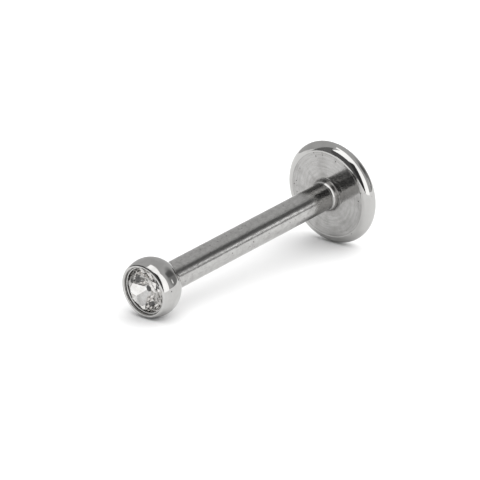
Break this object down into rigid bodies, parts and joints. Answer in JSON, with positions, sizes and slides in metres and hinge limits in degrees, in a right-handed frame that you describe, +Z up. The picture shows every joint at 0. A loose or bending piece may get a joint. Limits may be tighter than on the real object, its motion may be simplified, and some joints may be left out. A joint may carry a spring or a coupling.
{
  "type": "labret stud",
  "caption": "Body jewellery stud lying on its side: a round disc welded to a straight bar, with a screw-in domed end that holds a clear brilliant-cut stone.",
  "frame": {"origin": "on the surface that the stud lies on, under the middle of its box", "axes": "+X along the stud towards its disc, +Z up; the bar rises towards the disc by the resting tilt of about 5 degrees"},
  "size_m": [0.0124, 0.0044, 0.0045],
  "materials": {
    "steel": "fine satin bar, lathe-turned disc face and polished rim",
    "thread_steel": "cut thread, slightly dull",
    "polished_steel": "mirror-polished steel with hairline scratches",
    "crystal": "clear cut crystal with a foiled back"
  },
  "bodies": {
    "post": {"disc_and_bar": "steel"},
    "screw": {"screw_stem": "thread_steel"},
    "jewelled_end": {"jewel_cup": "polished_steel", "stone": "crystal"}
  },
  "joints": [
    {"name": "screw_advance", "type": "slide", "parent": "post", "child": "screw", "axis": [-0.9962, 0, -0.0875], "range_m": [0, 0.00248]},
    {"name": "screw_turn", "type": "hinge", "parent": "screw", "child": "jewelled_end", "pos_m": [-0.00463, 0, 0.00133], "axis": [-0.9962, 0, -0.0875], "range_deg": [0, 3960]}
  ],
  "couplings": [
    {"joint": "screw_turn", "follows": "screw_advance", "rad_per_m": 27925}
  ]
}
